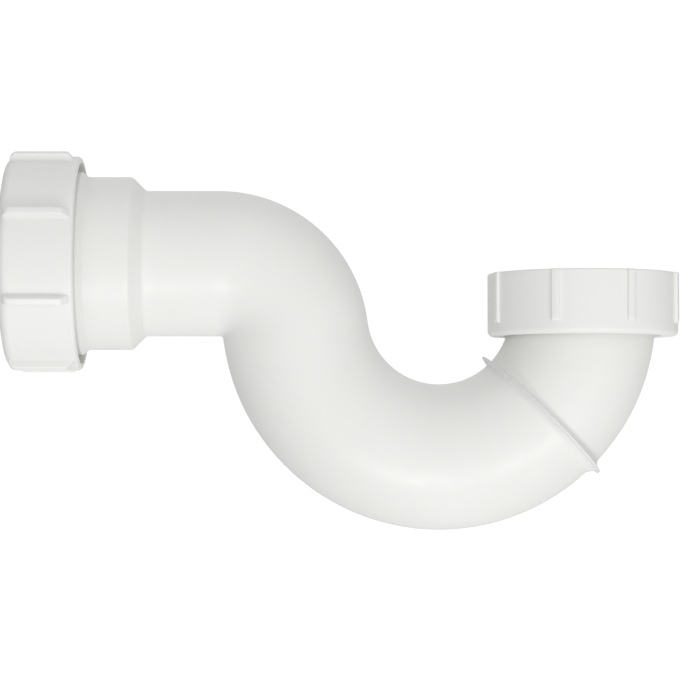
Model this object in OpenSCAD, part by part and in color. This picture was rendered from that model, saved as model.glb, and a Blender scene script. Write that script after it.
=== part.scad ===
// Shallow-seal trap for a bath or a shower, moulded in white plastic, for 40 mm waste pipe.
// Water falls in at the threaded inlet on the right, stands in the U, spills over the weir bend
// and leaves through the compression socket on the left.
// Origin: centre of the inlet washer's top face. +Z points up out of the inlet, the outlet faces -X.

/* [Tube] */
// Outside diameter of the tube
tube_d = 43; // [41:0.5:43.5]
// Wall thickness of the tube
tube_wall = 2.4; // [2:0.1:3]

/* [Run of the tube] */
// Inside radius of the U, which sets the space between its legs
u_inner_r = 21.2; // [20:0.1:40]
// Inside radius of the bend over the weir, almost none on a shallow trap
weir_inner_r = 1; // [1:0.5:20]
// Lean of the rising leg where the U passes into the weir bend, in degrees
lean_a = 7.1; // [0:0.1:12]
// Straight tube between the weir bend and the outlet socket
straight_l = 21.7; // [15:0.1:80]

/* [Weld] */
// How far round the U the two mouldings are welded, in degrees from the inlet
weld_a = 45; // [35:1:60]
// Height of the weld fin above the tube
fin_h = 2.8; // [1:0.1:4]
// Width of the weld fin at its foot
fin_w = 3.8; // [3:0.1:6]
// Width of the weld fin at its crest
fin_crest_w = 0.5; // [0.4:0.1:1]

/* [Inlet] */
// Major diameter of the inlet nut's thread, 47.8 for a 1 1/2 inch parallel thread
inlet_thread_d = 47.8; // [47.6:0.1:48]
// Thickness of the flange on the elbow
flange_t = 3.6; // [3:0.1:4]
// Thickness of the flat washer on the flange
washer_t = 2.8; // [2:0.1:3]
// Diameter of the inlet nut without its ribs
inlet_nut_d = 56.2; // [55:0.1:60]
// Height of the inlet nut
inlet_nut_h = 18.5; // [18:0.5:24]

/* [Outlet] */
// Outside diameter of the waste pipe that the socket takes
pipe_d = 43; // [42.5:0.1:43]
// Outside diameter of the socket's barrel
socket_d = 51.1; // [50.5:0.1:51.5]
// Length of the plain barrel between the thread and the cone
barrel_l = 12.8; // [8:0.1:20]
// Root diameter of the socket's thread
socket_root_d = 51.6; // [51:0.1:52]
// Length of the socket's thread
socket_thread_l = 12; // [10:0.5:14]
// Diameter of the outlet nut without its ribs
outlet_nut_d = 63.2; // [62:0.1:66]
// Length of the outlet nut
outlet_nut_l = 21.6; // [21:0.1:24]

/* [Grip ribs] */
// Number of ribs round each nut
rib_n = 8; // [6:1:16]
// Width of a rib
rib_w = 2.3; // [1.5:0.1:4]
// Height of the ribs on the inlet nut
inlet_rib_h = 0.95; // [0.5:0.05:2]
// Height of the ribs on the outlet nut
outlet_rib_h = 2.6; // [1.5:0.1:3.5]

/* [Hidden] */

$fn = 96;
// A cutter runs this far past the face that it opens
over = 1;
// A rib or a fin is rooted this deep in the wall that carries it
root = 1;
// The weir bend is slimmer by a hair, and the lengths on both sides of it close over its ends
hair = 0.12;
lap = 0.2;

tube_r = tube_d / 2;
bore_r = tube_r - tube_wall;

// The U's centre lies level with the flange's top face, where its arc ends
u_r = u_inner_r + tube_r;
u_x = -u_r;
u_z = -washer_t;

// The weir bend touches the U on the line between their two centres
weir_r = weir_inner_r + tube_r;
weir_x = u_x - (u_r + weir_r) * cos(lean_a);
weir_z = u_z - (u_r + weir_r) * sin(lean_a);
outlet_z = weir_z + weir_r;
lap_a = lap / u_r * 180 / PI;

// Inlet: the nut's lip bears on the flange's underside, and flares to clear the bend below it
flange_r = 23.7;
washer_r = 23.4;
washer_play = 0.2;
washer_bore_r = bore_r + washer_play;
lip_t = 3.4;
lip_land = 1.2;
lip_play = 0.9;
lip_mouth_play = 1.8;
lip_r = tube_r + lip_play;
lip_mouth_r = tube_r + lip_mouth_play;
relief = 0.4;
relief_r = inlet_thread_d / 2 + relief;
inlet_lead = 1;
lip_z = -washer_t - flange_t;
inlet_nut_z = lip_z - lip_t;
inlet_nut_r = inlet_nut_d / 2;
inlet_rim_f = 0.6;
inlet_foot_f = 1.4;
inlet_rib_from = 3.5;

// Outlet: lengths run inward from the socket's mouth, and each hole clears the pipe by its own play
pipe_r = pipe_d / 2;
socket_play = 0.5;
seal_bore_play = 0.3;
slip_play = 0.5;
outlet_hole_play = 0.7;
socket_r = socket_d / 2;
socket_bore_r = pipe_r + socket_play;
socket_bore_l = 24.5;
cone_r = 24.4;
cone_l = 6;
mouth_lead = 0.8;
collar_r = 27;
collar_l = 1.2;
collar_taper = 1.8;
collar_z = socket_thread_l;
barrel_z = collar_z + collar_l + collar_taper;
neck_z = barrel_z + barrel_l;
neck_l = socket_r - tube_r;
socket_l = neck_z + neck_l;
mouth_x = weir_x - straight_l - socket_l;

// Outlet: rubber ring, slip washer and nut, stacked outward from the mouth
seal_shoulder_l = 4.3;
seal_shoulder_r = 25.6;
seal_nose_l = 5.2;
seal_bore_r = pipe_r + seal_bore_play;
seal_cone_play = 0.15;
slip_t = 1.4;
slip_r = 27.2;
slip_bore_r = pipe_r + slip_play;
outlet_nut_r = outlet_nut_d / 2;
outlet_end_t = 3;
outlet_hole_r = pipe_r + outlet_hole_play;
outlet_hole_lead = 0.8;
outlet_bore_r = 27.8;
outlet_mouth_r = 29.4;
outlet_mouth_l = 1.6;
outlet_end_f = 3;
outlet_rim_f = 1.2;
outlet_rib_from = 1.5;
outlet_rib_f = 2.2;
outlet_rib_slope = 4.4;
outlet_rib_l = outlet_nut_l - outlet_rib_from;
slip_x = mouth_x - seal_shoulder_l - slip_t;
outlet_nut_x = slip_x - outlet_end_t;

white = "whitesmoke";
rubber = "dimgray";

// Places children, built up along +Z, on the outlet's axis with that direction pointing inward
module along_outlet(x) {
    translate([x, 0, outlet_z]) rotate([0, 90, 0]) children();
}

// Places children on the tube's axis at the weld, with +Z towards the inlet
module at_weld() {
    translate([u_x, 0, u_z]) rotate([0, weld_a, 0]) translate([u_r, 0, 0]) children();
}

// Tube bent in the XZ plane, from an angle about the bend's centre through a turn
module bent_tube(x, z, path_r, from, turn, slim = 0) {
    translate([x, 0, z]) rotate([90, 0, 0]) rotate([0, 0, from])
        rotate_extrude(angle = turn) translate([path_r, 0]) difference() {
            circle(tube_r - slim);
            circle(bore_r + slim);
        }
}

// What a rounded corner of radius f takes off a square one, with the arc's centre at the origin
module corner(f) {
    difference() {
        square(f + over);
        circle(f);
    }
}

// Section of a ring of height h, for rotate_extrude, with its outer corners rounded
module ring_section(r_in, r_out, h, low_f, high_f) {
    difference() {
        translate([r_in, 0]) square([r_out - r_in, h]);
        translate([r_out - low_f, low_f]) mirror([0, 1]) corner(low_f);
        translate([r_out - high_f, h - high_f]) corner(high_f);
    }
}

// Sets a rib's section round a nut of radius r
module ribs(r) {
    rib_a = 2 * asin(rib_w / 2 / r);
    for (i = [0:rib_n - 1])
        rotate([0, 0, (i + 0.5) * 360 / rib_n - rib_a / 2])
            rotate_extrude(angle = rib_a) children();
}

// One moulding's half of the weld fin: its flank sweeps out of the tube and thins towards the crest
module half_fin() {
    steps = 8;
    foot = fin_w / 2;
    crest = fin_crest_w / 2;
    function flank(i) =
        [tube_r + fin_h * i / steps, crest + (foot - crest) * pow(1 - i / steps, 2)];
    first = flank(0) - flank(1);
    toe = flank(0) - first * root / first[0];
    rotate_extrude() polygon(concat(
        [[tube_r + fin_h, 0], [tube_r - root, 0], toe],
        [for (i = [1:steps]) flank(i)]));
}

// Outlet socket and the straight tube behind it. Outside are the thread's zone, a collar, a plain
// barrel and a cone. Inside are a cone for the rubber ring, the pipe's seat and its stop.
module outlet_socket() {
    root_r = socket_root_d / 2;
    end_z = socket_l + straight_l + lap;
    rotate_extrude() polygon([
        [cone_r, 0],
        [root_r - mouth_lead, 0],
        [root_r, mouth_lead],
        [root_r, collar_z - (collar_r - root_r)],
        [collar_r, collar_z],
        [collar_r, collar_z + collar_l],
        [socket_r, barrel_z],
        [socket_r, neck_z],
        [tube_r, socket_l],
        [tube_r, end_z],
        [bore_r, end_z],
        [bore_r, socket_bore_l],
        [socket_bore_r, socket_bore_l],
        [socket_bore_r, cone_l]]);
}

// Outlet moulding: socket, straight tube, weir bend and the U as far as the weld
module outlet_bend() {
    color(white) union() {
        along_outlet(mouth_x) outlet_socket();
        bent_tube(weir_x, weir_z, weir_r, lean_a, 90 - lean_a, slim = hair);
        bent_tube(u_x, u_z, u_r, -weld_a, weld_a + lean_a - 180 - lap_a);
        at_weld() mirror([0, 0, 1]) half_fin();
    }
}

// Inlet moulding: the U from the weld up to the flange that the nut pulls against
module inlet_elbow() {
    color(white) union() {
        bent_tube(u_x, u_z, u_r, -weld_a, weld_a);
        at_weld() half_fin();
        difference() {
            translate([0, 0, lip_z]) cylinder(h = flange_t, r = flange_r);
            translate([0, 0, lip_z - over]) cylinder(h = flange_t + 2 * over, r = tube_r - root);
        }
    }
}

// Flat rubber washer on the flange, on which the waste fitting's tail seats
module inlet_washer() {
    color(rubber) translate([0, 0, -washer_t]) difference() {
        cylinder(h = washer_t, r = washer_r);
        translate([0, 0, -over]) cylinder(h = washer_t + 2 * over, r = washer_bore_r);
    }
}

// The room inside the inlet nut: flared lip, relief round flange and washer, thread and lead-in
module inlet_nut_inside() {
    thread_r = inlet_thread_d / 2;
    flare = (lip_mouth_r - lip_r) / (lip_t - lip_land);
    rotate_extrude() polygon([
        [0, -over],
        [lip_mouth_r + over * flare, -over],
        [lip_r, lip_t - lip_land],
        [lip_r, lip_t],
        [relief_r, lip_t],
        [relief_r, -inlet_nut_z],
        [thread_r, -inlet_nut_z],
        [thread_r, inlet_nut_h - inlet_lead],
        [thread_r + inlet_lead + over, inlet_nut_h + over],
        [0, inlet_nut_h + over]]);
}

// Coupling nut that turns freely on the elbow and draws the flange up to the waste fitting
module inlet_nut() {
    rib_r = inlet_nut_r + inlet_rib_h;
    rib_l = inlet_nut_h - inlet_rib_from;
    color(white) translate([0, 0, inlet_nut_z]) difference() {
        union() {
            rotate_extrude() ring_section(0, inlet_nut_r, inlet_nut_h, inlet_foot_f, inlet_rim_f);
            translate([0, 0, inlet_rib_from]) ribs(rib_r)
                ring_section(inlet_nut_r - root, rib_r, rib_l, inlet_rib_h, inlet_rim_f);
        }
        inlet_nut_inside();
    }
}

// Rubber ring: a square shoulder outside the socket and a tapered nose wedged into its cone
module outlet_seal() {
    nose_r = cone_r - seal_nose_l * (cone_r - socket_bore_r) / cone_l;
    color(rubber) along_outlet(mouth_x) rotate_extrude() polygon([
        [seal_bore_r, -seal_shoulder_l],
        [seal_shoulder_r, -seal_shoulder_l],
        [seal_shoulder_r, 0],
        [cone_r - seal_cone_play, 0],
        [nose_r - seal_cone_play, seal_nose_l],
        [seal_bore_r, seal_nose_l]]);
}

// Thin hard washer that keeps the turning nut from dragging the rubber ring round
module outlet_slip_washer() {
    color(white) along_outlet(slip_x) difference() {
        cylinder(h = slip_t, r = slip_r);
        translate([0, 0, -over]) cylinder(h = slip_t + 2 * over, r = slip_bore_r);
    }
}

// The room inside the outlet nut: the pipe's hole, the thread and the lead-in at its rim
module outlet_nut_inside() {
    rotate_extrude() polygon([
        [0, -over],
        [outlet_hole_r + outlet_hole_lead + over, -over],
        [outlet_hole_r, outlet_hole_lead],
        [outlet_hole_r, outlet_end_t],
        [outlet_bore_r, outlet_end_t],
        [outlet_bore_r, outlet_nut_l - outlet_mouth_l],
        [outlet_mouth_r, outlet_nut_l],
        [outlet_mouth_r, outlet_nut_l + over],
        [0, outlet_nut_l + over]]);
}

// Section of a rib on the outlet nut: rounded at the closed end, sloped away at the open one
module outlet_rib_section(rib_r) {
    difference() {
        ring_section(outlet_nut_r - outlet_end_f, rib_r, outlet_rib_l, outlet_rib_f, 0);
        polygon([
            [rib_r, outlet_rib_l - outlet_rib_slope],
            [rib_r + over, outlet_rib_l - outlet_rib_slope],
            [rib_r + over, outlet_rib_l + over],
            [outlet_nut_r - outlet_rim_f, outlet_rib_l + over],
            [outlet_nut_r - outlet_rim_f, outlet_rib_l]]);
    }
}

// Compression nut that squeezes the rubber ring on to the pipe
module outlet_nut() {
    rib_r = outlet_nut_r + outlet_rib_h;
    color(white) along_outlet(outlet_nut_x) difference() {
        union() {
            rotate_extrude()
                ring_section(0, outlet_nut_r, outlet_nut_l, outlet_end_f, outlet_rim_f);
            translate([0, 0, outlet_rib_from]) ribs(rib_r) outlet_rib_section(rib_r);
        }
        outlet_nut_inside();
    }
}

outlet_bend();
inlet_elbow();
inlet_washer();
inlet_nut();
outlet_seal();
outlet_slip_washer();
outlet_nut();
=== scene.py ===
# %% [markdown]
# # A shallow bath trap in white plastic
# This notebook dresses a measured model of a waste trap for its portrait. The measured model
# arrives as a fixed frame: seven pieces, in metres, with the origin in the middle of the inlet
# washer. Everything made here is laid over that frame, so no size is guessed by eye.

# %% Load the measured frame
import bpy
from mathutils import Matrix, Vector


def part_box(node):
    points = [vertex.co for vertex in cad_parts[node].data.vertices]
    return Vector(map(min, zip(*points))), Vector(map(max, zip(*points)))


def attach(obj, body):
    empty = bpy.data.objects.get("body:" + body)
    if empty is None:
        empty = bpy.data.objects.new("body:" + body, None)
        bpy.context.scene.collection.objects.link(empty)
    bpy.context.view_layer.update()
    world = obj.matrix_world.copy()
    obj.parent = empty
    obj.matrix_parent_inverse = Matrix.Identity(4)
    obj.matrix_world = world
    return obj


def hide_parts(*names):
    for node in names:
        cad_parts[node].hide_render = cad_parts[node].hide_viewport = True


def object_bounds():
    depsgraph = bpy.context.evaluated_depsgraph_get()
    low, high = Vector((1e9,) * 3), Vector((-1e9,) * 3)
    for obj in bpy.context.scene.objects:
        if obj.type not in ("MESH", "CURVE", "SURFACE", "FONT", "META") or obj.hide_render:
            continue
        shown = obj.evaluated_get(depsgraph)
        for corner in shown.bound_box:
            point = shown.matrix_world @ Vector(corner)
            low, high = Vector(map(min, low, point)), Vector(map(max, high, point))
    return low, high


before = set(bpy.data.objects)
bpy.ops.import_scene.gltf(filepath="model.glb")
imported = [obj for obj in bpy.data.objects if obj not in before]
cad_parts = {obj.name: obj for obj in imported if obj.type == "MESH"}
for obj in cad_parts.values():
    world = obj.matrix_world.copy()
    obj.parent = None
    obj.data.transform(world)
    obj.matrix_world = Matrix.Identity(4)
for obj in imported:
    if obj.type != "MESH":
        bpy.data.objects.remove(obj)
cad_box = [list(corner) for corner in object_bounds()]

import math

import bmesh
import bpy
from mathutils import Vector

for name in sorted(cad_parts):
    low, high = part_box(name)
    print(f"{name}: {' x '.join(f'{1000 * side:.1f}' for side in high - low)} mm")

# %% [markdown]
# ## The studio
# White plastic on white is lit by reflection more than by lamps. A photographer stands such a
# part on a light table in a white cove, so that light comes from all sides, but most from the
# camera's side and from below. The front then glows, the upper side and the hollows go grey, and
# the outlines draw themselves. A single lamp would be simpler, but it would blacken the hollow
# of the U and cast a hard shadow. So the world is the cove, with six walls whose brightness is
# set one by one, and two strip lamps under the table draw the long soft highlight. The table
# and the backdrop are plain white to the camera alone, and the light from below passes the table.

# %% The picture's geometry
IMAGE_SIDE = 680
MM = 0.001
PIXELS_PER_MM = 3.38
SENSOR = 36.0

# The camera's own place, in millimetres, and the point of the object in the middle of the picture.
camera_place = Vector((-83.8, -700.0, -36.6))
picture_middle = Vector((-71.9, 0.0, -10.9))

camera_data = bpy.data.cameras.new("camera")
camera = bpy.data.objects.new("camera", camera_data)
bpy.context.scene.collection.objects.link(camera)
bpy.context.scene.camera = camera
view_line = picture_middle - camera_place
camera.location = camera_place * MM
camera.rotation_euler = view_line.to_track_quat("-Z", "Y").to_euler()
picture_width = IMAGE_SIDE / PIXELS_PER_MM
camera_data.sensor_width = SENSOR
camera_data.lens = SENSOR * view_line.length / picture_width
camera_data.clip_start, camera_data.clip_end = 0.01, 20.0
print(f"lens {camera_data.lens:.1f} mm, picture {picture_width:.1f} mm wide at the object")

# %% A helper for sums in node trees
def maths(tree, operation, *values):
    """A Math node's result for one or two values or outputs, in any kind of node tree."""
    node = tree.nodes.new("ShaderNodeMath")
    node.operation = operation
    for socket, value in zip(node.inputs, values):
        if isinstance(value, bpy.types.NodeSocket):
            tree.links.new(value, socket)
        else:
            socket.default_value = value
    return node.outputs["Value"]


print("helper ready:", maths.__name__)

# %% The cove's light
BACKDROP_WHITE = 1.05


def cove(**walls):
    """A world lit by soft walls, each as bright as given, that run into each other evenly."""
    world = bpy.data.worlds.new("white_cove")
    world.use_nodes = True
    sky = world.node_tree

    direction = sky.nodes.new("ShaderNodeTexCoord").outputs["Generated"]
    split = sky.nodes.new("ShaderNodeSeparateXYZ")
    sky.links.new(direction, split.inputs["Vector"])
    sides = {"left": ("X", -1), "right": ("X", 1), "front": ("Y", -1), "back": ("Y", 1),
             "below": ("Z", -1), "above": ("Z", 1)}
    light = 0.0
    for wall, brightness in walls.items():
        axis, sign = sides[wall]
        facing = maths(sky, "MAXIMUM", maths(sky, "MULTIPLY", split.outputs[axis], sign), 0.0)
        share = maths(sky, "MULTIPLY", maths(sky, "POWER", facing, 2.0), brightness)
        light = maths(sky, "ADD", light, share)
    to_camera = sky.nodes.new("ShaderNodeLightPath").outputs["Is Camera Ray"]
    unseen = maths(sky, "MULTIPLY", light, maths(sky, "SUBTRACT", 1.0, to_camera))
    seen = maths(sky, "MULTIPLY", to_camera, BACKDROP_WHITE)
    sky.links.new(maths(sky, "ADD", unseen, seen), sky.nodes["Background"].inputs["Strength"])
    sky.nodes["Background"].inputs["Color"].default_value = (1, 1, 1, 1)
    return world


WALLS = {"left": 0.2, "right": 0.4, "front": 0.95, "back": 0.72, "below": 0.865, "above": 0.855}
bpy.context.scene.world = cove(**WALLS)
bpy.context.scene.view_settings.view_transform = "Standard"
print("cove:", ", ".join(f"{wall} {light}" for wall, light in WALLS.items()))

# %% The light table and its strip lamps
def strip_lamp(name, place, aim, length, width, power):
    """A long rectangular lamp, level, that faces a point of the object."""
    lamp = bpy.data.lights.new(name, "AREA")
    lamp.shape = "RECTANGLE"
    lamp.size, lamp.size_y = length, width
    lamp.energy = power
    holder = bpy.data.objects.new(name, lamp)
    holder.location = place
    holder.rotation_euler = (Vector(aim) - Vector(place)).to_track_quat("-Z", "Y").to_euler()
    bpy.context.scene.collection.objects.link(holder)
    return holder


def light_table(size, height, glow):
    """A flat pale floor that the camera sees, and that lets the light from below through."""
    half = size / 2
    mesh = bpy.data.meshes.new("floor")
    mesh.from_pydata(
        [(x, y, height) for x, y in ((-half, -half), (half, -half), (half, half), (-half, half))],
        [], [(0, 1, 2, 3)])
    material = bpy.data.materials.new("pale_floor")
    material.use_nodes = True
    shader = material.node_tree.nodes["Principled BSDF"]
    shader.inputs["Base Color"].default_value = (0.8, 0.8, 0.8, 1)
    shader.inputs["Roughness"].default_value = 0.9
    shader.inputs["Emission Color"].default_value = (1, 1, 1, 1)
    shader.inputs["Emission Strength"].default_value = glow
    mesh.materials.append(material)
    floor = bpy.data.objects.new("floor", mesh)
    floor.visible_diffuse = floor.visible_glossy = floor.visible_transmission = False
    floor.visible_shadow = False
    bpy.context.scene.collection.objects.link(floor)
    return floor


lowest = cad_box[0][2]
TABLE_GAP = 0.0005
STRIP_LENGTH, STRIP_WIDTH = 0.3, 0.16
STRIP_AIM = (-0.06, 0, 0)
light_table(size=40.0, height=lowest - TABLE_GAP, glow=0.8)
for lamp_name, lamp_place, lamp_power in (
        ("strip_below", (-0.137, -0.919, -0.768), 2.0),
        ("strip_low_right", (0.441, -0.919, -0.586), 1.6)):
    strip_lamp(lamp_name, lamp_place, STRIP_AIM, STRIP_LENGTH, STRIP_WIDTH, lamp_power)
    print(f"{lamp_name}: {lamp_power} W")
print(f"light table {1000 * (lowest - TABLE_GAP):.1f} mm from the origin")

# %% [markdown]
# ## White polypropylene
# The body and the nuts are moulded in white polypropylene. It is waxy: a broad soft gloss, a
# skin with a very fine orange peel from the steel of the mould, faint cloudy flow marks, and a
# little light that sinks in and comes back, which keeps its shadows warm. One flat white would
# look like paint. So the colour drifts slowly between two near whites, the roughness drifts
# with another noise, and two bumps of very different sizes lie on top of each other.

# %% The plastic's material
def noise(tree, coordinates, scale, detail=3.0):
    """A noise pattern in the object's own space, its scale in patches per metre."""
    node = tree.nodes.new("ShaderNodeTexNoise")
    node.inputs["Scale"].default_value = scale
    node.inputs["Detail"].default_value = detail
    tree.links.new(coordinates, node.inputs["Vector"])
    return node.outputs["Fac"]


def blend_colours(tree, factor, first, second):
    """A colour between two, by a factor that a pattern gives."""
    node = tree.nodes.new("ShaderNodeMix")
    node.data_type = "RGBA"
    tree.links.new(factor, node.inputs["Factor"])
    node.inputs["A"].default_value = (*first, 1)
    node.inputs["B"].default_value = (*second, 1)
    return node.outputs["Result"]


def remap(tree, value, low, high):
    """Brings a pattern's 0.35 to 0.65, where most of a noise lies, to the range given."""
    node = tree.nodes.new("ShaderNodeMapRange")
    node.inputs["From Min"].default_value = 0.35
    node.inputs["From Max"].default_value = 0.65
    node.inputs["To Min"].default_value = low
    node.inputs["To Max"].default_value = high
    tree.links.new(value, node.inputs["Value"])
    return node.outputs["Result"]


def bump(tree, height, depth, strength, under=None):
    """Raises the surface by a pattern, on top of an earlier bump if there is one."""
    node = tree.nodes.new("ShaderNodeBump")
    node.inputs["Distance"].default_value = depth
    node.inputs["Strength"].default_value = strength
    tree.links.new(height, node.inputs["Height"])
    if under:
        tree.links.new(under, node.inputs["Normal"])
    return node.outputs["Normal"]


# Patches per metre, from the slow drift of colour to the finest skin.
CLOUDS, FLOW_MARKS, GLOSS_PATCHES, ORANGE_PEEL = 28, 90, 160, 2400


def moulded_plastic(name, light, dark, roughness):
    """White moulded plastic between two colours, with its roughness between two values."""
    material = bpy.data.materials.new(name)
    material.use_nodes = True
    tree = material.node_tree
    shader = tree.nodes["Principled BSDF"]
    place = tree.nodes.new("ShaderNodeTexCoord").outputs["Object"]
    clouds = remap(tree, noise(tree, place, CLOUDS), 0, 1)
    tree.links.new(blend_colours(tree, clouds, light, dark), shader.inputs["Base Color"])
    worn = remap(tree, noise(tree, place, GLOSS_PATCHES), *roughness)
    tree.links.new(worn, shader.inputs["Roughness"])
    flow = bump(tree, noise(tree, place, FLOW_MARKS), 0.0003, 0.12)
    skin = bump(tree, noise(tree, place, ORANGE_PEEL, 2), 0.00003, 0.25, under=flow)
    tree.links.new(skin, shader.inputs["Normal"])
    shader.inputs["IOR"].default_value = 1.49
    shader.inputs["Subsurface Weight"].default_value = 0.12
    shader.inputs["Subsurface Radius"].default_value = (1.0, 0.9, 0.75)
    shader.inputs["Subsurface Scale"].default_value = 0.002
    return material


body_plastic = moulded_plastic(
    "body_plastic", light=(0.87, 0.87, 0.85), dark=(0.85, 0.85, 0.825), roughness=(0.34, 0.44))
nut_plastic = moulded_plastic(
    "nut_plastic", light=(0.88, 0.88, 0.865), dark=(0.86, 0.86, 0.84), roughness=(0.32, 0.42))
print("plastics:", body_plastic.name, nut_plastic.name)

# %% [markdown]
# ## Rubber
# The washer in the inlet and the ring in the outlet are black rubber. Rubber is matt and takes
# dust, so its roughness is high and broken by a fine speckle, with a soft sheen on its edges.

# %% The rubber's material
def moulded_rubber(name):
    """Black rubber with a dusty bloom."""
    material = bpy.data.materials.new(name)
    material.use_nodes = True
    tree = material.node_tree
    shader = tree.nodes["Principled BSDF"]
    place = tree.nodes.new("ShaderNodeTexCoord").outputs["Object"]
    bloom = remap(tree, noise(tree, place, 700), 0, 1)
    tree.links.new(
        blend_colours(tree, bloom, (0.022, 0.022, 0.024), (0.05, 0.05, 0.052)),
        shader.inputs["Base Color"])
    tree.links.new(remap(tree, noise(tree, place, 1500), 0.6, 0.8), shader.inputs["Roughness"])
    tree.links.new(bump(tree, noise(tree, place, 3000), 0.00005, 0.4), shader.inputs["Normal"])
    shader.inputs["Sheen Weight"].default_value = 0.15
    return material


rubber = moulded_rubber("rubber")
for ring, finish in (
        ("inlet_washer", rubber), ("outlet_seal", rubber), ("outlet_slip_washer", nut_plastic)):
    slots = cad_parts[ring].data.materials
    slots.clear()
    slots.append(finish)
    print(f"{ring}: {finish.name}")

# %% [markdown]
# ## Sections with softened corners
# No moulded corner is sharp: the steel that formed it had a radius, and that radius is what
# catches the light. Each round piece here starts as a section, a closed list of corners, each
# with its radius. Bevelling the finished mesh would also work, but it needs clean edge loops to
# choose from, while a section says exactly which corner is how soft.

# %% Soft sections
def soft_section(corners, steps=4, guard=0.15):
    """Points of a closed section, in millimetres, from corners (radius, height, softness)."""
    points = []
    for i, (r, z, softness) in enumerate(corners):
        here = Vector((r, z))
        before, after = (Vector(corners[(i + k) % len(corners)][:2]) - here for k in (-1, 1))
        bend = before.angle(after)
        if softness == 0 or bend > math.radians(179):
            points.append(here)
            continue
        reach = softness / math.tan(bend / 2)
        before.normalize()
        after.normalize()
        centre = here + (before + after).normalized() * softness / math.sin(bend / 2)
        start, end = here + before * reach, here + after * reach
        points.append(start + before * guard)
        for k in range(steps + 1):
            spoke = (start - centre).lerp(end - centre, k / steps).normalized()
            points.append(centre + spoke * softness)
        points.append(end + after * guard)
    return points


example = soft_section([(1, 0, 0.2), (2, 0, 0.2), (2, 1, 0.2), (1, 1, 0.2)])
print("four soft corners make", len(example), "points")

# %% Turning a section about the axis
def link_mesh(name, verts, faces, material, sharp=40):
    """A smooth-shaded mesh object at the origin, from points in millimetres, facing outward."""
    mesh = bpy.data.meshes.new(name)
    mesh.from_pydata([Vector(v) * MM for v in verts], [], faces)
    build = bmesh.new()
    build.from_mesh(mesh)
    bmesh.ops.recalc_face_normals(build, faces=build.faces)
    build.to_mesh(mesh)
    build.free()
    mesh.shade_smooth()
    mesh.set_sharp_from_angle(angle=math.radians(sharp))
    mesh.materials.append(material)
    piece = bpy.data.objects.new(name, mesh)
    bpy.context.scene.collection.objects.link(piece)
    return piece


def turned(name, section, material, spokes=160):
    """A ring turned about the Z axis from a closed section."""
    count = len(section)
    verts = []
    for s in range(spokes):
        angle = math.tau * s / spokes
        verts += [(r * math.cos(angle), r * math.sin(angle), z) for r, z in section]
    faces = []
    for s in range(spokes):
        here, there = s * count, (s + 1) % spokes * count
        faces += [
            (here + i, there + i, there + (i + 1) % count, here + (i + 1) % count)
            for i in range(count)
        ]
    return link_mesh(name, verts, faces, material)


# %% [markdown]
# ## Running a node tree
# What follows a path, or repeats round an axis, is made with Geometry Nodes. Each tree is built
# in code with named inputs, run once on a simple mesh, and its result is kept as a plain mesh,
# so nothing is left that could come out differently in another program.

# %% Helpers for node trees
def new_tree(name, *inputs):
    """A geometry tree with its input and output nodes, and named inputs (label, kind)."""
    tree = bpy.data.node_groups.new(name, "GeometryNodeTree")
    sockets = [("Geometry", "Geometry"), *inputs, ("Material", "Material")]
    for label, kind in sockets:
        tree.interface.new_socket(label, in_out="INPUT", socket_type="NodeSocket" + kind)
    tree.interface.new_socket("Geometry", in_out="OUTPUT", socket_type="NodeSocketGeometry")
    given = tree.nodes.new("NodeGroupInput").outputs
    return tree, {socket.name: socket for socket in given if socket.name}


def add(tree, kind, settings=None, **links):
    """Adds a node; a socket's name in links may hold an output to join it to, or a plain value."""
    node = tree.nodes.new(kind)
    for key, value in (settings or {}).items():
        setattr(node, key, value)
    for key, value in links.items():
        label = key.replace("_", " ")
        socket = next(
            s for s in node.inputs
            if s.enabled and (s.name == label or s.identifier == key))
        if isinstance(value, bpy.types.NodeSocket):
            tree.links.new(value, socket)
        else:
            socket.default_value = value
    return node


def finish_tree(tree, geometry, material):
    """Every tree ends the same way: plain geometry with its material."""
    real = add(tree, "GeometryNodeRealizeInstances", Geometry=geometry)
    painted = add(
        tree, "GeometryNodeSetMaterial",
        Geometry=real.outputs["Geometry"], Material=material)
    end = tree.nodes.new("NodeGroupOutput")
    tree.links.new(painted.outputs["Geometry"], end.inputs["Geometry"])


def run_tree(piece, tree, **values):
    """Runs a tree on a piece and keeps the result as the piece's own plain mesh."""
    modifier = piece.modifiers.new(tree.name, "NODES")
    modifier.node_group = tree
    for item in tree.interface.items_tree:
        key = item.name.replace(" ", "_")
        if item.in_out == "INPUT" and key in values:
            modifier[item.identifier] = values[key]
    evaluated = piece.evaluated_get(bpy.context.evaluated_depsgraph_get())
    made = bpy.data.meshes.new_from_object(evaluated)
    piece.modifiers.remove(modifier)
    piece.data = made
    made.name = piece.name
    print(f"{piece.name}: {len(made.polygons)} faces")
    return piece


# %% [markdown]
# ## The tube laid along its run
# The trap is one tube bent twice: down round the U, and over the weir to the outlet. A real
# mould has a curved core for each bend. Here the outlet moulding is first turned as a straight
# tube, with everything that its section has: half the weld fin, the wall, the neck, the plain
# barrel, the collar, and the seat for pipe and rubber ring inside. A node tree then lays it
# along the run. Bending the finished section keeps the wall even all the way, which joining
# separate bends would not, and no seam shows between one bend and the next.

# %% The run of the tube
TUBE_R, BORE_R = 21.5, 19.1
U_R, U_X, U_Z = 42.7, -42.7, -2.8
WEIR_R = 22.5
LEAN, WELD = math.radians(7.1), math.radians(45)
WEIR_X = U_X - (U_R + WEIR_R) * math.cos(LEAN)
WEIR_Z = U_Z - (U_R + WEIR_R) * math.sin(LEAN)
OUTLET_Z = WEIR_Z + WEIR_R
STRAIGHT_L, SOCKET_L = 21.7, 31.85
MOUTH_X = WEIR_X - STRAIGHT_L - SOCKET_L


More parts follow.
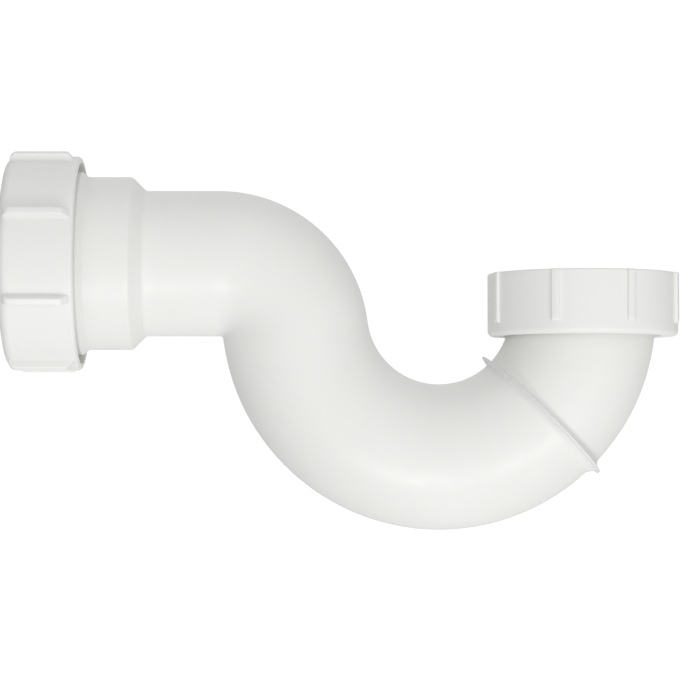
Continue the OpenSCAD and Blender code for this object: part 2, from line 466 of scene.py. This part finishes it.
def arc(x, z, radius, start, end, steps=240):
    """Points of an arc in the plane of the trap, with a tiny first and last step.

    A sampled curve leaves its end along its first chord, so a tiny chord keeps the end square.
    """
    shares = [0.0, 1e-4, *(i / steps for i in range(1, steps)), 1 - 1e-4, 1.0]
    angles = [start + (end - start) * share for share in shares]
    return [(x + radius * math.cos(a), 0, z + radius * math.sin(a)) for a in angles]


def path(name, points):
    """A curve through the points, for a tree to follow."""
    curve = bpy.data.curves.new(name, "CURVE")
    curve.dimensions = "3D"
    spline = curve.splines.new("POLY")
    spline.points.add(len(points) - 1)
    for place, point in zip(spline.points, points):
        place.co = (*(Vector(point) * MM), 1)
    holder = bpy.data.objects.new(name, curve)
    bpy.context.scene.collection.objects.link(holder)
    return holder


u_arc_l = U_R * (math.pi - LEAN - WELD)
weir_arc_l = WEIR_R * (math.pi / 2 - LEAN)
run_l = u_arc_l + weir_arc_l + STRAIGHT_L + SOCKET_L
outlet_path = path("outlet_path", [
    *arc(U_X, U_Z, U_R, -WELD, LEAN - math.pi),
    *arc(WEIR_X, WEIR_Z, WEIR_R, LEAN, math.pi / 2)[1:],
    (MOUTH_X, 0, OUTLET_Z)])
elbow_path = path("elbow_path", arc(U_X, U_Z, U_R, -WELD, 0))
print(f"outlet run {run_l:.1f} mm, mouth at x {MOUTH_X:.2f}, outlet axis at z {OUTLET_Z:.2f}")

# %% The tree that lays a straight piece along a path
def lay_along_tree():
    """Moves each point from the Z axis to the same length along the path."""
    tree, given = new_tree("lay_along_path", ("Path", "Object"))
    route = add(tree, "GeometryNodeObjectInfo", Object=given["Path"]).outputs["Geometry"]
    place = add(tree, "GeometryNodeInputPosition").outputs["Position"]
    x, y, z = add(tree, "ShaderNodeSeparateXYZ", Vector=place).outputs
    sample = add(
        tree, "GeometryNodeSampleCurve", {"mode": "LENGTH", "use_all_curves": True},
        Curves=route, Length=z).outputs
    across = add(
        tree, "ShaderNodeVectorMath", {"operation": "CROSS_PRODUCT"})
    across.inputs[0].default_value = (0, 1, 0)
    tree.links.new(sample["Tangent"], across.inputs[1])
    in_plane = add(tree, "ShaderNodeVectorMath", {"operation": "SCALE"}, Scale=x)
    tree.links.new(across.outputs["Vector"], in_plane.inputs[0])
    sideways = add(tree, "ShaderNodeCombineXYZ", Y=y).outputs["Vector"]
    moved = sample["Position"]
    for offset in (in_plane.outputs["Vector"], sideways):
        sum_node = add(tree, "ShaderNodeVectorMath", {"operation": "ADD"})
        tree.links.new(moved, sum_node.inputs[0])
        tree.links.new(offset, sum_node.inputs[1])
        moved = sum_node.outputs["Vector"]
    laid = add(tree, "GeometryNodeSetPosition", Geometry=given["Geometry"], Position=moved)
    finish_tree(tree, laid.outputs["Geometry"], given["Material"])
    return tree


lay_along = lay_along_tree()
print(lay_along.name, "has", len(lay_along.nodes), "nodes")

# %% [markdown]
# ### The weld
# The trap cannot come out of one mould, because its core could not be drawn round the U. It is
# moulded as two pieces, each with half a fin, and the fins are melted together. The fin sweeps
# up out of the tube on both sides and ends in a thin round crest. It is steeper on the elbow's
# side, so one flank lies in the light and the other draws a fine grey line.

# %% The section of the weld fin
FIN_H, FIN_CREST = 2.8, 0.25


def fin_flank(foot, steps=12):
    """The flank of half the fin, from its crest down to the tube, as (radius, length)."""
    straight_h = FIN_H - FIN_CREST
    crest = [
        (TUBE_R + straight_h + FIN_CREST * math.cos(a), FIN_CREST * math.sin(a))
        for a in (math.pi / 2 * i / 4 for i in range(4))]
    flank = [
        (TUBE_R + straight_h * i / steps,
         FIN_CREST + (foot - FIN_CREST) * (1 - i / steps) ** 2)
        for i in range(steps, 0, -1)]
    return [*crest, *flank, (TUBE_R + 0.02, foot + 0.1), (TUBE_R, foot + 0.35)]


OUTLET_FOOT, ELBOW_FOOT = 1.9, 1.3
print("fin flank of", len(fin_flank(OUTLET_FOOT)), "points")

# %% The outlet moulding
SKIN_STEP, BORE_STEP, FOOT_GAP, TUBE_SPOKES = 0.9, 2.4, 1.2, 144


def stations(start, end, step):
    """Lengths from start to end, none further apart than the step."""
    count = max(1, math.ceil((end - start) / step))
    return [start + (end - start) * i / count for i in range(count + 1)]


BARREL_R, COLLAR_R, THREAD_ROOT_R, PIPE_SEAT_R, SEAL_SEAT_R = 25.55, 27.0, 25.8, 22.0, 24.4
bend_l = u_arc_l + weir_arc_l
neck = bend_l + STRAIGHT_L
socket_profile = [(radius, run_l - from_mouth, softness) for radius, from_mouth, softness in (
    (BARREL_R, 27.8, 1.5),
    (BARREL_R, 15.0, 0.6),
    (COLLAR_R, 13.2, 0.35),
    (COLLAR_R, 12.0, 0.25),
    (THREAD_ROOT_R, 10.8, 0.3),
    (THREAD_ROOT_R, 0.8, 0.25),
    (THREAD_ROOT_R - 0.8, 0.0, 0.15),
    (SEAL_SEAT_R, 0.0, 0.15),
    (PIPE_SEAT_R, 6.0, 0.3),
    (PIPE_SEAT_R, 24.5, 0.3),
    (BORE_R, 24.5, 0.4),
    (BORE_R, 26.0, 0))]
socket = soft_section([(TUBE_R, neck - 6, 0), (TUBE_R, neck, 1.6), *socket_profile])
outlet_section = [Vector(p) for p in (
    *fin_flank(OUTLET_FOOT),
    *((TUBE_R, s) for s in stations(OUTLET_FOOT + FOOT_GAP, bend_l, SKIN_STEP)),
    *((TUBE_R, s) for s in stations(bend_l + 3, neck - 8, 4)),
    *socket,
    *((BORE_R, s) for s in reversed(stations(bend_l, run_l - 28.0, 4))),
    *((BORE_R, s) for s in reversed(stations(0, bend_l, BORE_STEP)[:-1])))]
outlet_moulding = turned("outlet_moulding", outlet_section, body_plastic, spokes=TUBE_SPOKES)
run_tree(outlet_moulding, lay_along, Path=outlet_path, Material=body_plastic)

# %% [markdown]
# ### The inlet elbow
# The second moulding is the last eighth of the U. Its flange is a plain ring at the top of the
# bend, which the nut pulls against. The ring could be part of the section, but it stands square
# to the inlet's axis and the bend doesn't, so it is turned by itself and joined.

# %% The elbow and its flange
elbow_l = U_R * WELD
elbow_section = [Vector(p) for p in (
    *fin_flank(ELBOW_FOOT),
    *((TUBE_R, s) for s in stations(ELBOW_FOOT + FOOT_GAP, elbow_l, SKIN_STEP)),
    *((BORE_R, s) for s in reversed(stations(0, elbow_l, BORE_STEP))))]
elbow = turned("inlet_elbow_moulding", elbow_section, body_plastic, spokes=TUBE_SPOKES)
run_tree(elbow, lay_along, Path=elbow_path, Material=body_plastic)
FLANGE_R, FLANGE_INNER_R, FLANGE_BASE, FLANGE_TOP = 23.7, 20.5, -6.4, -2.8
flange = turned("inlet_flange", soft_section([
    (FLANGE_INNER_R, FLANGE_BASE, 0), (FLANGE_R, FLANGE_BASE, 0.2),
    (FLANGE_R, FLANGE_TOP, 0.2), (FLANGE_INNER_R, FLANGE_TOP, 0)]), body_plastic)
bpy.data.objects.remove(outlet_path)
bpy.data.objects.remove(elbow_path)


# %% Joining what is one moulding
def join(name, pieces):
    """One object from several that are one moulding, with normals facing outward."""
    whole = bmesh.new()
    for piece in pieces:
        whole.from_mesh(piece.data)
    bmesh.ops.recalc_face_normals(whole, faces=whole.faces)
    open_edges = sum(not edge.is_manifold for edge in whole.edges)
    volume = whole.calc_volume(signed=True) / MM**3
    print(f"{name}: volume {volume:.0f} mm3, {open_edges} open edges")
    first = pieces[0]
    whole.to_mesh(first.data)
    whole.free()
    first.name = first.data.name = name
    for piece in pieces[1:]:
        bpy.data.objects.remove(piece)
    return first


elbow = join("inlet_elbow_moulding", [elbow, flange])
print(elbow.name, len(elbow.data.polygons), "faces")

# %% [markdown]
# ## Nuts
# A hand nut on a waste trap is a cup with grip ribs. One eighth of it, with one rib in its
# middle, says everything about it, so that eighth is built with care and a node tree repeats it
# round the axis and merges the seams. Cutting ribs with booleans would leave long thin faces
# that shade badly; here the wall flows up over each rib in one skin.

# %% One eighth of a nut
def rounded_radius(z, length, radius, low, high):
    """Radius at height z of a plain ring whose outer corners have the radii low and high."""
    if z < low:
        return radius - low + math.sqrt(max(0.0, low**2 - (low - z) ** 2))
    if z > length - high:
        return radius - high + math.sqrt(max(0.0, high**2 - (z - length + high) ** 2))
    return radius


def rib_profile(width, height, crown, foot, draft=0.12, steps=4):
    """Half a rib seen end on, from the wall to the middle of its crown: (offset, share)."""
    half = width / 2
    arc_steps = [math.pi / 2 * i / steps for i in range(steps + 1)]
    low = [(half + foot * (1 - math.sin(a)), foot * (1 - math.cos(a))) for a in arc_steps]
    top = [(half - draft - crown * (1 - math.cos(a)), height - crown * (1 - math.sin(a)))
           for a in arc_steps]
    return [(offset, rise / height) for offset, rise in (*low, *top)] + [(0.0, 1.0)]


def nut_sector(name, outline, radius, ribs, rib, material):
    """A sector with one rib in its middle. The outline is closed: (wall, rib, height)."""
    half_sector = math.pi / ribs
    near = rib[0][0] / radius
    plain = [(half_sector - (half_sector - near) * i / 8, 0.0) for i in range(8)]
    side = plain + [(offset / radius, share) for offset, share in rib]
    spokes = [(-a, share) for a, share in side] + [(a, share) for a, share in reversed(side[:-1])]
    verts, faces, count = [], [], len(outline)
    for angle, share in spokes:
        for wall, crest, z in outline:
            r = wall + share * (crest - wall)
            verts.append((r * math.cos(angle), r * math.sin(angle), z))
    for s in range(len(spokes) - 1):
        faces += [
            (s * count + i, (s + 1) * count + i,
             (s + 1) * count + (i + 1) % count, s * count + (i + 1) % count)
            for i in range(count)]
    return link_mesh(name, verts, faces, material)


def repeat_round_tree():
    """Repeats a sector round the Z axis and merges the seams."""
    tree, given = new_tree(
        "repeat_round_axis",
        ("Count", "Int"), ("First Angle", "Float"), ("Weld Distance", "Float"))
    points = add(tree, "GeometryNodePoints", Count=given["Count"]).outputs["Points"]
    index = add(tree, "GeometryNodeInputIndex").outputs["Index"]
    step = maths(tree, "DIVIDE", math.tau, given["Count"])
    angle = maths(tree, "ADD", maths(tree, "MULTIPLY", index, step), given["First Angle"])
    turn = add(tree, "ShaderNodeCombineXYZ", Z=angle).outputs["Vector"]
    copies = add(
        tree, "GeometryNodeInstanceOnPoints",
        Points=points, Instance=given["Geometry"], Rotation=turn)
    real = add(tree, "GeometryNodeRealizeInstances", Geometry=copies.outputs["Instances"])
    whole = add(
        tree, "GeometryNodeMergeByDistance",
        Geometry=real.outputs["Geometry"], Distance=given["Weld Distance"])
    finish_tree(tree, whole.outputs["Geometry"], given["Material"])
    return tree


repeat_round = repeat_round_tree()
RIBS, RIB_WIDTH = 8, 2.3
WELD_DISTANCE = 1e-6
print(repeat_round.name, "has", len(repeat_round.nodes), "nodes")

# %% [markdown]
# ### Threads
# Both threads are right-handed ridges of the real pitch: 3 mm on the outlet, and the 11 turns
# to the inch of a pipe thread on the inlet. A ridge is a small section swept along a helix, and
# it thins away at both ends as a cut thread does. The outlet's two ridges keep half a pitch
# apart, so they pass each other as the nut is turned.

# %% The tree that sweeps a thread
# Each end thins away over a sixth of a turn, to a twentieth of the full ridge.
STEPS_PER_TURN, RUN_OUT, THINNEST = 96, 1 / 6, 0.05


def thread_tree():
    """Sweeps a ridge along a helix round the Z axis, inward if its height is negative."""
    tree, given = new_tree(
        "thread_ridge", ("Radius", "Float"), ("Pitch", "Float"), ("Turns", "Float"),
        ("Start Height", "Float"), ("Start Angle", "Float"), ("Ridge Height", "Float"),
        ("Foot Width", "Float"), ("Crest Width", "Float"))
    line = add(tree, "GeometryNodeCurvePrimitiveLine").outputs["Curve"]
    count = maths(tree, "MULTIPLY", given["Turns"], STEPS_PER_TURN)
    steps = add(tree, "GeometryNodeResampleCurve", Curve=line, Count=count).outputs["Curve"]
    along = add(tree, "GeometryNodeSplineParameter").outputs["Factor"]
    turns = maths(tree, "MULTIPLY", along, given["Turns"])
    angle = maths(tree, "ADD", maths(tree, "MULTIPLY", turns, math.tau), given["Start Angle"])
    climb = maths(tree, "MULTIPLY", turns, given["Pitch"])
    place = add(
        tree, "ShaderNodeCombineXYZ",
        X=maths(tree, "MULTIPLY", maths(tree, "COSINE", angle), given["Radius"]),
        Y=maths(tree, "MULTIPLY", maths(tree, "SINE", angle), given["Radius"]),
        Z=maths(tree, "ADD", climb, given["Start Height"]))
    helix = add(tree, "GeometryNodeSetPosition", Geometry=steps, Position=place.outputs["Vector"])
    upright = add(
        tree, "GeometryNodeSetCurveNormal", {"mode": "Z_UP"}, Curve=helix.outputs["Geometry"])
    ends = maths(tree, "MINIMUM", turns, maths(tree, "SUBTRACT", given["Turns"], turns))
    size = maths(tree, "MINIMUM", maths(tree, "DIVIDE", ends, RUN_OUT), 1.0)
    sized = add(
        tree, "GeometryNodeSetCurveRadius", Curve=upright.outputs["Curve"],
        Radius=maths(tree, "MAXIMUM", size, THINNEST))
    # Half of the section is sunk in the wall, so it is twice as high as the ridge that shows.
    height = maths(tree, "MULTIPLY", maths(tree, "ABSOLUTE", given["Ridge Height"]), 2.0)
    sunk_width = maths(
        tree, "SUBTRACT", maths(tree, "MULTIPLY", given["Foot Width"], 2.0), given["Crest Width"])
    section = add(
        tree, "GeometryNodeCurvePrimitiveQuadrilateral", {"mode": "TRAPEZOID"},
        Height=height, Bottom_Width=sunk_width, Top_Width=given["Crest Width"], Offset=0.0)
    quarter = maths(
        tree, "MULTIPLY", maths(tree, "SIGN", given["Ridge Height"]), -math.pi / 2)
    radial = add(
        tree, "GeometryNodeTransform", Geometry=section.outputs["Curve"],
        Rotation=add(tree, "ShaderNodeCombineXYZ", Z=quarter).outputs["Vector"])
    swept = add(
        tree, "GeometryNodeCurveToMesh", Curve=sized.outputs["Curve"],
        Profile_Curve=radial.outputs["Geometry"], Fill_Caps=True)
    finish_tree(tree, swept.outputs["Mesh"], given["Material"])
    return tree


thread = thread_tree()


def ridge(name, material, **sizes):
    """A thread ridge from sizes in millimetres, with turns and angle as they are."""
    piece = link_mesh(name, [], [], material)
    plain = {"Turns", "Start_Angle"}
    values = {k: v if k in plain else v * MM for k, v in sizes.items()}
    return run_tree(piece, thread, Material=material, **values)


print(thread.name, "has", len(thread.nodes), "nodes")

# %% [markdown]
# ### The inlet nut
# The nut is a ring with a lip at the bottom that hooks under the elbow's flange, and a thread
# above it for the waste fitting. Its ribs are low and stop above a plain rounded hem, which is
# where a hand would otherwise scrape on them. The outline gives the wall and the rib's crest at
# each height, so the rib can end in a round of its own while the wall runs on.

# %% The inlet nut
INLET_NUT_Z, INLET_NUT_H, INLET_NUT_R = -9.8, 18.5, 28.1
INLET_TOP = INLET_NUT_Z + INLET_NUT_H
INLET_HEM, INLET_RIM = 1.4, 0.6
INLET_RIB_H, INLET_RIB_START = 0.95, 3.5


def inlet_wall(z):
    """Radius of the inlet nut between its ribs, at a height above its lower face."""
    return rounded_radius(z, INLET_NUT_H, INLET_NUT_R, INLET_HEM, INLET_RIM)


def inlet_crest(z):
    """Radius of the inlet nut over a rib, at a height above its lower face."""
    if z < INLET_RIB_START:
        return inlet_wall(z)
    return rounded_radius(
        z - INLET_RIB_START, INLET_NUT_H - INLET_RIB_START, INLET_NUT_R + INLET_RIB_H,
        INLET_RIB_H, INLET_RIM)


def arc_heights(length, low, high, steps=7):
    """Heights that follow the two rounded corners of a ring's section."""
    turn = [math.pi / 2 * i / steps for i in range(steps + 1)]
    return [low * (1 - math.cos(a)) for a in turn] + [
        length - high * (1 - math.sin(a)) for a in turn]


inlet_heights = sorted({round(z, 4) for z in (
    *arc_heights(INLET_NUT_H, INLET_HEM, INLET_RIM),
    *(INLET_RIB_START + z
      for z in arc_heights(INLET_NUT_H - INLET_RIB_START, INLET_RIB_H, INLET_RIM)),
    INLET_RIB_START - 0.01, 2.4, 5.2, 8.0, 11.0, 14.0, 16.5)})
inlet_outline = [(inlet_wall(z), inlet_crest(z), z + INLET_NUT_Z) for z in inlet_heights]

# Inside, from the rim down: the thread's bore, the room for the flange, and the flared lip.
INLET_BORE_R, FLANGE_ROOM_R, LIP_R = 23.9, 24.3, 22.4
inlet_inside = soft_section([
    (27.5, INLET_TOP, 0), (INLET_BORE_R + 1.0, INLET_TOP, 0.2),
    (INLET_BORE_R, INLET_TOP - 1.0, 0.2), (INLET_BORE_R, 0.0, 0.15), (FLANGE_ROOM_R, 0.0, 0.0),
    (FLANGE_ROOM_R, FLANGE_BASE, 0.2), (LIP_R, FLANGE_BASE, 0.2), (LIP_R, -7.6, 0.2),
    (LIP_R + 0.9, INLET_NUT_Z, 0.25), (26.0, INLET_NUT_Z, 0)])
inlet_outline += [(r, r, z) for r, z in inlet_inside[1:]]
inlet_nut = nut_sector(
    "inlet_nut_shell", inlet_outline, INLET_NUT_R, RIBS,
    rib_profile(RIB_WIDTH, INLET_RIB_H, crown=0.3, foot=0.3), nut_plastic)
run_tree(inlet_nut, repeat_round, Count=RIBS, First_Angle=math.pi / RIBS,
         Weld_Distance=WELD_DISTANCE, Material=nut_plastic)

# Eleven turns to the inch.
INLET_PITCH = 2.309
inlet_thread = ridge(
    "inlet_thread", nut_plastic, Radius=INLET_BORE_R, Pitch=INLET_PITCH, Turns=2.75,
    Start_Height=0.65, Start_Angle=0.4, Ridge_Height=-1.48, Foot_Width=1.95, Crest_Width=0.4)
inlet_nut = join("inlet_coupling_nut", [inlet_nut, inlet_thread])

# %% [markdown]
# ### The outlet nut
# The compression nut is a cup: its closed end has the pipe's hole and presses the slip washer on
# to the rubber ring. Its ribs stand tall enough for a wet hand, rise in a round at the closed end
# and slope down to the rim. It is built along the Z axis from its closed end, like everything
# that is round here, and turned on to the outlet's axis when its thread is in.

# %% The outlet nut
OUTLET_NUT_L, OUTLET_NUT_R = 21.6, 31.6
OUTLET_SHOULDER, OUTLET_RIM = 3.0, 1.2
OUTLET_RIB_H, OUTLET_RIB_START, OUTLET_RIB_ROUND = 2.6, 1.5, 2.2
OUTLET_SLOPE_L, OUTLET_SLOPE_DROP = 3.2, OUTLET_RIB_H + OUTLET_RIM
NUT_X = MOUTH_X - 8.7


def outlet_wall(z):
    """Radius of the outlet nut between its ribs, at a distance from its closed end."""
    return rounded_radius(z, OUTLET_NUT_L, OUTLET_NUT_R, OUTLET_SHOULDER, OUTLET_RIM)


def outlet_crest(z):
    """Radius of the outlet nut over a rib, at a distance from its closed end."""
    if z < OUTLET_RIB_START:
        return outlet_wall(z)
    top = OUTLET_NUT_R + OUTLET_RIB_H
    crest = rounded_radius(
        z - OUTLET_RIB_START, OUTLET_NUT_L - OUTLET_RIB_START, top, OUTLET_RIB_ROUND, 0)
    slope = top - (z - OUTLET_NUT_L + OUTLET_SLOPE_L) * OUTLET_SLOPE_DROP / OUTLET_SLOPE_L
    return max(outlet_wall(z), min(crest, slope))


outlet_heights = sorted({round(z, 4) for z in (
    *arc_heights(OUTLET_NUT_L, OUTLET_SHOULDER, OUTLET_RIM),
    *(OUTLET_RIB_START + OUTLET_RIB_ROUND * (1 - math.cos(math.pi / 2 * i / 8))
      for i in range(9)),
    OUTLET_RIB_START - 0.01, 6.0, 9.0, 12.0, 15.0,
    18.2, 18.4, 18.6, 19.2, 20.0, 20.5, 20.6, 20.7)})
outlet_outline = [(outlet_wall(z), outlet_crest(z), z) for z in outlet_heights]

# Inside, from the rim to the closed end: the recess for the collar, the bore and the pipe's hole.
RECESS_R, OUTLET_BORE_R, END_L, PIPE_HOLE_R = 29.7, 27.8, 3.0, 22.2
outlet_inside = soft_section([
    (RECESS_R + 0.6, OUTLET_NUT_L, 0), (RECESS_R, OUTLET_NUT_L, 0.2),
    (RECESS_R - 0.3, OUTLET_NUT_L - 3.0, 0.3), (OUTLET_BORE_R, OUTLET_NUT_L - 4.0, 0.3),
    (OUTLET_BORE_R, END_L, 0.4), (PIPE_HOLE_R, END_L, 0.2), (PIPE_HOLE_R, 0.8, 0.2),
    (PIPE_HOLE_R + 0.8, 0.0, 0.2), (28.4, 0.0, 0)])
outlet_outline += [(r, r, z) for r, z in outlet_inside[1:]]
outlet_nut = nut_sector(
    "outlet_nut_shell", outlet_outline, OUTLET_NUT_R, RIBS,
    rib_profile(RIB_WIDTH, OUTLET_RIB_H, crown=0.4, foot=0.45), nut_plastic)
run_tree(outlet_nut, repeat_round, Count=RIBS, First_Angle=math.pi / RIBS,
         Weld_Distance=WELD_DISTANCE, Material=nut_plastic)
print(f"outlet nut from x {NUT_X:.2f} to {NUT_X + OUTLET_NUT_L:.2f} mm")

# %% The outlet's two threads
# Both heights count from the socket's mouth, so that one half pitch keeps the ridges apart.
PITCH, THREAD_START = 3.0, 1.3
mouth_in_nut = MOUTH_X - NUT_X
male_thread = ridge(
    "male_thread", body_plastic, Radius=THREAD_ROOT_R, Pitch=PITCH, Turns=2.9,
    Start_Height=THREAD_START, Start_Angle=0.0, Ridge_Height=1.2, Foot_Width=1.7,
    Crest_Width=0.9)
female_thread = ridge(
    "female_thread", nut_plastic, Radius=OUTLET_BORE_R, Pitch=PITCH, Turns=2.7,
    Start_Height=mouth_in_nut + THREAD_START - PITCH / 2, Start_Angle=0.0, Ridge_Height=-1.4,
    Foot_Width=1.7, Crest_Width=0.9)
outlet_nut = join("outlet_compression_nut", [outlet_nut, female_thread])


def lay_on_outlet(piece, x):
    """Turns a mesh from the Z axis on to the outlet's axis, with its height running inward."""
    for vertex in piece.data.vertices:
        across, y, inward = vertex.co
        vertex.co = (x * MM + inward, y, OUTLET_Z * MM - across)


lay_on_outlet(outlet_nut, NUT_X)
lay_on_outlet(male_thread, MOUTH_X)
outlet_moulding = join("outlet_moulding", [outlet_moulding, male_thread])

# %% [markdown]
# ## Handing the pieces to the frame
# Each dressed piece takes the place of its measured solid and rides on the same body, so the nuts
# turn and travel as they do on the real trap. The three rings are shown as the measured solids
# that they are. The last measure says how far a dressed piece reaches past its solid.

# %% Every piece rides on its body
def past_box(piece, node):
    """How far a piece reaches past its node's box, at most, in millimetres."""
    low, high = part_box(node)
    places = [vertex.co for vertex in piece.data.vertices]
    return max(
        max(low[i] - min(p[i] for p in places), max(p[i] for p in places) - high[i])
        for i in range(3)) / MM


for piece, body, node, finish in (
        (outlet_moulding, "trap_body", "outlet_bend", "moulded_body"),
        (elbow, "trap_body", "inlet_elbow", "moulded_body"),
        (inlet_nut, "inlet_nut", "inlet_nut", "moulded_nut"),
        (outlet_nut, "outlet_nut", "outlet_nut", "moulded_nut")):
    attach(piece, body)
    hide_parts(node)
    triangles = sum(len(face.vertices) - 2 for face in piece.data.polygons)
    print(f"{piece.name}: {triangles} triangles, {past_box(piece, node):.3f} mm past its solid")
